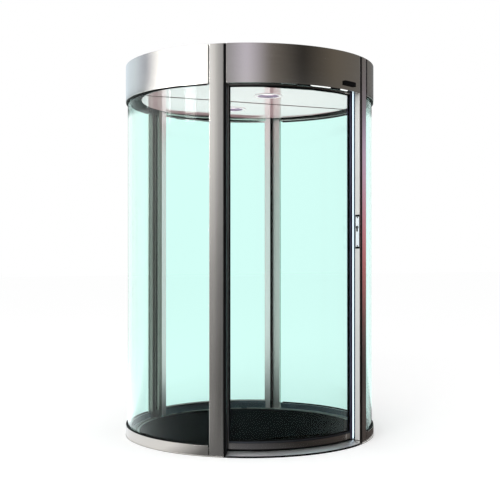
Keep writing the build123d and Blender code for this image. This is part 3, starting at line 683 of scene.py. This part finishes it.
# Black seals: outside the fixed panes at head and foot, down each strike jamb, and at each jamb foot.
sealLooks = {
    "HeadSeal": {"radius": (788.2, 798.2), "height": (2116, 2131), "angle": (41.2, 138.8), "steps": 80},
    "FootSeal": {"radius": (788.2, 798.2), "height": (62, 70), "angle": (41.2, 138.8), "steps": 80},
    "JambSeal": {"radius": (727, 738), "height": (80, 2110), "angle": (38.3, 38.48), "steps": 2},
    "JambFoot": {"radius": (756, 798.2), "height": (25.5, 29.5), "angle": (32.7, 32.98), "steps": 2},
}
for end, turnBy in (("front", 0), ("rear", 180)):
    for kind, look in sealLooks.items():
        angle = [turnBy + way for way in look["angle"]]
        seal = bend(f"{end}{kind}", {**look, "angle": angle}, rubber, eased["seal"])
        place(seal, "portal", "black_rubber")

# Joint strip under the seam of the two ceiling boards, dark brown as painted shade in the seam.
jointLook = {"reach": 694, "width": 10, "height": (2136, 2138.3)}
jointSides = (-jointLook["width"] / 2, jointLook["width"] / 2)
jointSpots = [(x * mm, y * mm, z * mm) for x in (-jointLook["reach"], jointLook["reach"])
              for y in jointSides for z in jointLook["height"]]
jointMesh = bpy.data.meshes.new("ceilingJoint")
jointMesh.from_pydata(jointSpots, [], [
    (0, 1, 3, 2), (4, 6, 7, 5), (0, 4, 5, 1), (2, 3, 7, 6), (0, 2, 6, 4), (1, 5, 7, 3)])
jointMesh.materials.append(umberShade)
ceilingJoint = addPiece("ceilingJoint", jointMesh)
easeEdges(ceilingJoint, eased["joint"])
place(ceilingJoint, "portal", "galvanised_steel")

# Black sealant where the drum meets the floor, thicker under the sills.
beadLook = {"inner": 796, "outer": 801, "shoulder": 800.2, "foot": 0.2, "height": 2, "steps": 200}
bead = turn("floorBead", (
    (beadLook["inner"], beadLook["foot"]), (beadLook["outer"], beadLook["foot"]),
    (beadLook["shoulder"], beadLook["height"]), (beadLook["inner"], beadLook["height"])),
    rubber, eased["bead"], steps=beadLook["steps"])
place(bead, "portal", "black_rubber")
sillLook = {"radius": (798.5, 801.2), "height": (0.2, 10.5), "half": 32.8, "steps": 60}

# Brush strip under each leaf that closes the gap to the floor.
brushLook = {"radius": (738, 744), "height": (27.5, 32.4), "from": -35.0, "to": 34.2, "steps": 70}
holderLook = {"radius": (743, 746.7), "height": (31.6, 38.5), "from": -35.0, "to": 31.4, "steps": 70}
for end, turnBy in (("front", 0), ("rear", 180)):
    sill = bend(f"{end}SillSeal", {
        **sillLook, "angle": (turnBy - sillLook["half"], turnBy + sillLook["half"])}, rubber, eased["sill"])
    place(sill, "portal", "black_rubber")
    for kind, look in (("DoorBrush", brushLook), ("BrushHolder", holderLook)):
        angle = (turnBy + look["from"], turnBy + look["to"])
        foot = bend(f"{end}{kind}", {**look, "angle": angle}, rubber, eased["sill"])
        place(foot, f"{end}_door", "black_rubber")
print("added details done")

# Studio: pale floor that keeps the shadow, even white surround, one soft lamp.
studio = {"floorSize": 40, "floorColor": "#F2F2F2", "floorLift": 0.19, "even": 0.9,
          "lamp": (-3.2, -4.2, 4.6), "lampAim": (0, 0, 1.1), "lampSize": 3.0, "lampPower": 130}
floorMesh = bpy.data.meshes.new("studioFloor")
half = studio["floorSize"]
floorMesh.from_pydata(
    [(-half, -half, 0), (half, -half, 0), (half, half, 0), (-half, half, 0)], [], [(0, 1, 2, 3)])
floor = addPiece("studioFloor", floorMesh)
floorFinish, floorTree, floorShader = newFinish("studioPaper", {
    "Base Color": hexColor(studio["floorColor"]), "Roughness": 1.0, "Specular IOR Level": 0.0})
floorPath = addNode(floorTree, "ShaderNodeLightPath")
floorSeen = addNode(floorTree, "ShaderNodeMath", {
    0: (floorPath, "Is Camera Ray"), 1: (floorPath, "Is Transmission Ray")}, operation="MAXIMUM")
floorSeen2 = addNode(floorTree, "ShaderNodeMath", {
    0: (floorSeen, 0), 1: (floorPath, "Is Glossy Ray")}, operation="MAXIMUM")
floorGlow = addNode(floorTree, "ShaderNodeMath", {
    0: (floorSeen2, 0), 1: studio["floorLift"]}, operation="MULTIPLY")
floorShader.inputs["Emission Color"].default_value = (1, 1, 1, 1)
floorTree.links.new(floorGlow.outputs[0], floorShader.inputs["Emission Strength"])
floorMesh.materials.append(floorFinish)

world = bpy.data.worlds.new("studioWhite")
bpy.context.scene.world = world
world.use_nodes = True
worldTree = world.node_tree
worldPath = addNode(worldTree, "ShaderNodeLightPath")
worldSeen = addNode(worldTree, "ShaderNodeMath", {
    0: (worldPath, "Is Camera Ray"), 1: (worldPath, "Is Glossy Ray")}, operation="MAXIMUM")
worldSeen2 = addNode(worldTree, "ShaderNodeMath", {
    0: (worldSeen, 0), 1: (worldPath, "Is Transmission Ray")}, operation="MAXIMUM")
worldLevel = addNode(worldTree, "ShaderNodeMapRange", {
    "Value": (worldSeen2, 0), "To Min": studio["even"], "To Max": 1.0})
worldBack = worldTree.nodes["Background"]
worldBack.inputs["Color"].default_value = (1, 1, 1, 1)
worldTree.links.new(worldLevel.outputs["Result"], worldBack.inputs["Strength"])

# Cards and flags round the set, seen by mirrored rays only. Tones go by compass angle from the doorway,
# bands by degrees above the eye.
cards = {"radius": 9.0, "height": 12.0, "eye": 1.16, "span": 20, "steps": 96, "hole": 0.815, "middle": 3.0,
         "lift": 0.002, "lowest": 0.01, "gain": 2.0, "lowGain": 5.0, "floorGain": 1.5,
         "tones": {
             -180: "#B4BEC6", -145: "#B4BEC6", -126: "#8C909A", -106: "#FFFFFF", -61: "#FFFFFF", -46: "#666666",
             -26: "#B4B0BC", -6: "#5A5550", 22: "#201E1C", 55: "#544E46", 130: "#5A5A5A", 180: "#B4BEC6"},
         "lowTones": {
             -180: "#AAAAAA", -61: "#AAAAAA", -46: "#444446", -26: "#767678", -6: "#444240", 22: "#282828",
             122: "#404040", 180: "#AAAAAA"},
         "floor": {
             -180: "#D6DCE4", -66: "#E0E0E0", -46: "#666666", -26: "#525256", 10: "#2C2A28", 70: "#4A4442",
             140: "#707070", 180: "#D6DCE4"},
         "graze": {-180: "#848A88", -132: "#DCEAE6", 104: "#8EA29E", 150: "#848A88"},
         "grazeShare": {-131: "#FFFFFF", -121: "#000000", 104: "#000000", 110: "#FFFFFF"},
         "grazeGain": 4.0, "grazeFloor": (0.98, 1.06), "grazeBand": {13.3: "#FFFFFF", 13.8: "#141414"},
         "levels": {-8: "#909090", 0.6: "#A8A8A8", 6: "#DEDEDE", 12: "#FFFFFF"},
         "lowBand": {14.8: "#FFFFFF", 15.15: "#000000"},
         "streaks": {
             -107: "#000000", -105.8: "#808080", -101.5: "#808080", -100.6: "#000000",
             -99.8: "#000000", -99: "#A0A0A0", -97: "#A0A0A0", -96: "#000000",
             -82: "#000000", -80: "#FFFFFF", -71.5: "#FFFFFF", -69.5: "#000000"},
         "streakBand": {12.0: "#000000", 12.4: "#FFFFFF", 15.0: "#FFFFFF", 15.3: "#000000"}, "streakGain": 36.0,
         "blush": {-7: "#4C3B38", 0.6: "#A85F61", 10: "#A496B0", 15: "#565258"},
         "blushAt": 100, "blushReach": (12, 6),
         "blushBand": {-8: "#000000", -6.5: "#FFFFFF", 12.5: "#FFFFFF", 14.5: "#000000"},
         "overhead": "#848A90", "overheadFrom": (22, 34), "floorFar": 0.5, "floorFade": (1.2, 3.0)}
cardMesh = bpy.data.meshes.new("studioCards")
cardSteps = cards["steps"]
rings = ((cards["hole"], cards["lift"]), (cards["middle"], cards["lift"]),
         (cards["radius"], cards["lift"]), (cards["radius"], cards["height"]))
cardSpots = [(r * cos(tau * i / cardSteps), r * sin(tau * i / cardSteps), z)
             for r, z in rings for i in range(cardSteps)]
cardFaces = []
for start in range(0, (len(rings) - 1) * cardSteps, cardSteps):
    for i in range(cardSteps):
        after = (i + 1) % cardSteps
        cardFaces.append((start + i, start + cardSteps + i, start + cardSteps + after, start + after))
cardMesh.from_pydata(cardSpots, [], cardFaces)
cardPiece = addPiece("studioCards", cardMesh)
cardFinish = bpy.data.materials.new("studioCard")
cardFinish.use_nodes = True
cardTree = cardFinish.node_tree
cardTree.nodes.clear()
cardPlace = addNode(cardTree, "ShaderNodeTexCoord")
cardParts = addNode(cardTree, "ShaderNodeSeparateXYZ", {"Vector": (cardPlace, "Object")})
cardBack = addNode(cardTree, "ShaderNodeMath", {0: (cardParts, "Y"), 1: -1.0}, operation="MULTIPLY")
cardTurn = addNode(cardTree, "ShaderNodeMath", {0: (cardParts, "X"), 1: (cardBack, 0)}, operation="ARCTAN2")
cardAround = addNode(cardTree, "ShaderNodeMapRange", {"Value": (cardTurn, 0), "From Min": -pi, "From Max": pi})
cardRamps = {}
for ramp in ("tones", "lowTones", "floor", "graze", "grazeShare", "streaks"):  # by compass angle
    cardRamps[ramp] = addNode(cardTree, "ShaderNodeValToRGB", {"Fac": (cardAround, "Result")})
    setStops(cardRamps[ramp], {(angle + 180) / 360: code for angle, code in cards[ramp].items()})
cardFlat = addNode(cardTree, "ShaderNodeCombineXYZ", {"X": (cardParts, "X"), "Y": (cardParts, "Y")})
cardAway = addNode(cardTree, "ShaderNodeVectorMath", {0: (cardFlat, "Vector")}, operation="LENGTH")
cardRise = addNode(cardTree, "ShaderNodeMath", {0: (cardParts, "Z"), 1: cards["eye"]}, operation="SUBTRACT")
cardSlope = addNode(cardTree, "ShaderNodeMath", {0: (cardRise, 0), 1: (cardAway, "Value")}, operation="ARCTAN2")
cardHigh = addNode(cardTree, "ShaderNodeMapRange", {
    "Value": (cardSlope, 0), "From Min": radians(-cards["span"]), "From Max": radians(cards["span"])})
for ramp in ("levels", "lowBand", "grazeBand", "streakBand", "blush", "blushBand"):  # by degrees above the eye
    cardRamps[ramp] = addNode(cardTree, "ShaderNodeValToRGB", {"Fac": (cardHigh, "Result")})
    setStops(cardRamps[ramp], {
        (angle + cards["span"]) / (2 * cards["span"]): code for angle, code in cards[ramp].items()})


def scaled(color, factor):  # a colour times a number or a grey
    return addNode(cardTree, "ShaderNodeVectorMath", {0: color, 1: factor}, operation="MULTIPLY")


def blended(share, first, second):
    return addNode(cardTree, "ShaderNodeMix", {"Factor": share, 6: first, 7: second}, data_type="RGBA")


cardUpper = scaled((cardRamps["tones"], "Color"), [cards["gain"]] * 3)
cardLower = scaled((cardRamps["lowTones"], "Color"), (cardRamps["levels"], "Color"))
cardLower2 = scaled((cardLower, 0), [cards["lowGain"]] * 3)
cardGrazed = scaled((cardRamps["graze"], "Color"), (cardRamps["grazeBand"], "Color"))
cardGraze = scaled((cardGrazed, 0), [cards["grazeGain"]] * 3)  # for the panes' rims, where glass mirrors
cardLower3 = blended((cardRamps["grazeShare"], "Color"), (cardLower2, 0), (cardGraze, 0))
cardWall = blended((cardRamps["lowBand"], "Color"), (cardUpper, 0), (cardLower3, 2))
overheadShare = addNode(cardTree, "ShaderNodeMapRange", {
    "Value": (cardSlope, 0), "From Min": radians(cards["overheadFrom"][0]),
    "From Max": radians(cards["overheadFrom"][1])})
cardTop = blended((overheadShare, "Result"), (cardWall, 2), hexColor(cards["overhead"]))
blushAside = addNode(cardTree, "ShaderNodeMath", {
    0: (cardTurn, 0), 1: radians(cards["blushAt"])}, operation="SUBTRACT")
blushAway = addNode(cardTree, "ShaderNodeMath", {0: (blushAside, 0)}, operation="ABSOLUTE")
blushFade = addNode(cardTree, "ShaderNodeMapRange", {
    "Value": (blushAway, 0), "From Min": radians(cards["blushReach"][0]),
    "From Max": radians(cards["blushReach"][1])}, interpolation_type="SMOOTHSTEP")
blushShare = addNode(cardTree, "ShaderNodeMath", {
    0: (blushFade, "Result"), 1: (cardRamps["blushBand"], "Color")}, operation="MULTIPLY")
blushGlow = scaled((cardRamps["blush"], "Color"), [cards["gain"]] * 3)
cardBlush = blended((blushShare, 0), (cardTop, 2), (blushGlow, 0))
streakShare = scaled((cardRamps["streaks"], "Color"), (cardRamps["streakBand"], "Color"))
cardStreaked = addNode(cardTree, "ShaderNodeVectorMath", {
    0: (streakShare, 0), 1: [cards["streakGain"]] * 3, 2: (cardBlush, 2)}, operation="MULTIPLY_ADD")
floorDim = addNode(cardTree, "ShaderNodeMapRange", {
    "Value": (cardAway, "Value"), "From Min": cards["floorFade"][0], "From Max": cards["floorFade"][1],
    "To Min": cards["floorGain"], "To Max": cards["floorGain"] * cards["floorFar"]})
cardFloor = scaled((cardRamps["floor"], "Color"), (floorDim, "Result"))
grazeFar = addNode(cardTree, "ShaderNodeMapRange", {
    "Value": (cardAway, "Value"), "From Min": cards["grazeFloor"][0], "From Max": cards["grazeFloor"][1]})
grazeFloor = addNode(cardTree, "ShaderNodeMath", {
    0: (grazeFar, "Result"), 1: (cardRamps["grazeShare"], "Color")}, operation="MULTIPLY")
cardFloor2 = blended((grazeFloor, 0), (cardFloor, 0), (cardGraze, 0))
cardLow = addNode(cardTree, "ShaderNodeMath", {
    0: (cardParts, "Z"), 1: cards["lowest"]}, operation="LESS_THAN")
cardMix = blended((cardLow, 0), (cardStreaked, 0), (cardFloor2, 2))
cardLight = addNode(cardTree, "ShaderNodeEmission", {"Color": (cardMix, 2), "Strength": 1.0})
addNode(cardTree, "ShaderNodeOutputMaterial", {"Surface": (cardLight, "Emission")})
cardMesh.materials.append(cardFinish)
for seenBy in ("camera", "diffuse", "transmission", "volume_scatter", "shadow"):  # only mirrored
    setattr(cardPiece, f"visible_{seenBy}", False)

lampData = bpy.data.lights.new("softLamp", "AREA")
lampData.size, lampData.energy = studio["lampSize"], studio["lampPower"]
lamp = bpy.data.objects.new("softLamp", lampData)
bpy.context.scene.collection.objects.link(lamp)
lamp.location = studio["lamp"]
lamp.visible_glossy = lamp.visible_transmission = False
lamp.rotation_euler = (Vector(studio["lampAim"]) - lamp.location).to_track_quat("-Z", "Y").to_euler()

# Lamp on the cabin's floor, for the ceiling: warm, which balances the green of the glass.
cabin = {"size": 1.1, "power": 53, "color": (1.0, 0.54, 0.56), "spot": (0.15, -0.12, 0.06)}
cabinData = bpy.data.lights.new("cabinLamp", "AREA")
cabinData.shape, cabinData.size = "DISK", cabin["size"]
cabinData.energy, cabinData.color = cabin["power"], cabin["color"]
cabinLamp = bpy.data.objects.new("cabinLamp", cabinData)
bpy.context.scene.collection.objects.link(cabinLamp)
cabinLamp.location, cabinLamp.rotation_euler = cabin["spot"], (pi, 0, 0)
cabinLamp.visible_camera = cabinLamp.visible_glossy = cabinLamp.visible_transmission = False
print("studio done")

# Camera to the left of the doorway, at chest height.
shot = {"turn": -23.235, "away": 6.013, "height": 1.161, "aim": 1.1785, "aside": 0.002, "lens": 66.42,
        "sensor": 36}
cameraData = bpy.data.cameras.new("camera")
cameraData.lens, cameraData.sensor_width = shot["lens"], shot["sensor"]
camera = bpy.data.objects.new("camera", cameraData)
bpy.context.scene.collection.objects.link(camera)
camera.location = around(shot["turn"], shot["away"] / mm, shot["height"] / mm)
aim = around(shot["turn"] + 90, shot["aside"] / mm, shot["aim"] / mm)
camera.rotation_euler = (aim - camera.location).to_track_quat("-Z", "Y").to_euler()
bpy.context.scene.camera = camera
bpy.context.scene.view_settings.view_transform = "Standard"

bpy.context.view_layer.update()
